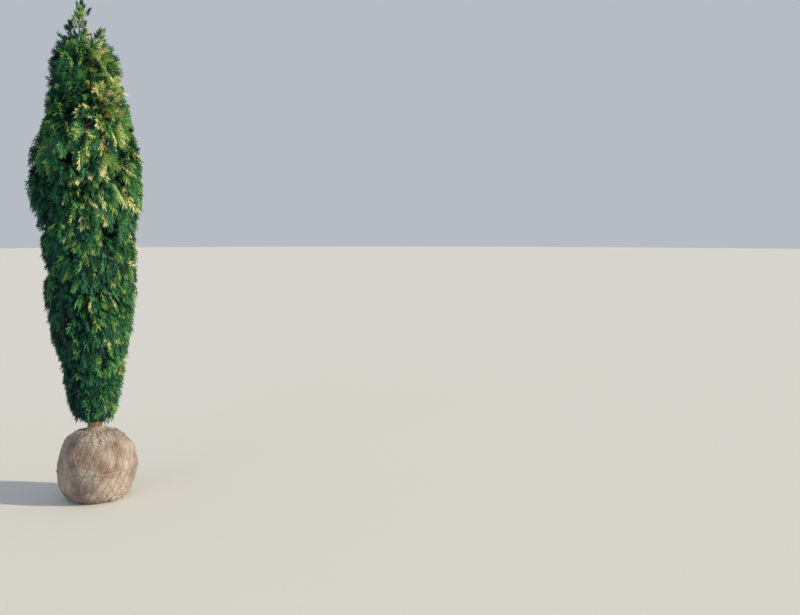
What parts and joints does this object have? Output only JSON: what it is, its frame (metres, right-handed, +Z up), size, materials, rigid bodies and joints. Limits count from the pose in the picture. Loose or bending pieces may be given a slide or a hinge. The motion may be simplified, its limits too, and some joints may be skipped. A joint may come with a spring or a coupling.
{
  "type": "root-balled columnar conifer",
  "caption": "Slender columnar garden conifer of drooping flat sprays, standing on its sacking-wrapped root ball.",
  "frame": {"origin": "centre of the root ball's flat underside", "axes": "+Z up along the trunk; +X to the right as the plant is seen from the front, and the front faces -Y"},
  "size_m": [0.6291, 0.6336, 2.7004],
  "materials": {
    "ball_sacking": "coarse jute sacking over a packed ball of soil, matt",
    "sacking": "coarse jute sacking, matt, frayed at the edge",
    "twine": "twisted natural twine, matt",
    "wire": "dull galvanised wire",
    "bark": "stringy red-brown bark in long strips, matt",
    "foliage": "small overlapping scale leaves in flat sprays, satin to matt",
    "foliage_tip": "fresh yellow-green spray tips, satin"
  },
  "bodies": {
    "root": {"root_ball": "ball_sacking", "ball_wire_low": "wire", "ball_wire_middle": "wire", "ball_wire_high": "wire", "sacking_collar": "sacking", "collar_twine": "twine", "trunk": "bark", "bough_1a": "bark", "bough_1b": "bark", "bough_1c": "bark", "bough_1d": "bark", "bough_2a": "bark", "bough_2b": "bark", "bough_2c": "bark", "bough_2d": "bark", "bough_3a": "bark", "bough_3b": "bark", "bough_3c": "bark", "bough_3d": "bark", "bough_4a": "bark", "bough_4b": "bark", "bough_4c": "bark", "bough_4d": "bark", "bough_5a": "bark", "bough_5b": "bark", "bough_5c": "bark", "bough_5d": "bark", "leader_bough_a": "bark", "leader_bough_b": "bark", "leader_bough_c": "bark", "foliage_1a": "foliage", "foliage_1b": "foliage", "foliage_1c": "foliage", "foliage_1d": "foliage", "foliage_2a": "foliage", "foliage_2b": "foliage", "foliage_2c": "foliage", "foliage_2d": "foliage", "foliage_3a": "foliage", "foliage_3b": "foliage", "foliage_3c": "foliage", "foliage_3d": "foliage", "foliage_4a": "foliage", "foliage_4b": "foliage", "foliage_4c": "foliage", "foliage_4d": "foliage", "foliage_5a": "foliage", "foliage_5b": "foliage", "foliage_5c": "foliage", "foliage_5d": "foliage", "foliage_leader_a": "foliage_tip", "foliage_leader_b": "foliage_tip", "foliage_leader_c": "foliage_tip", "foliage_leader_tip": "foliage_tip"}
  },
  "joints": []
}
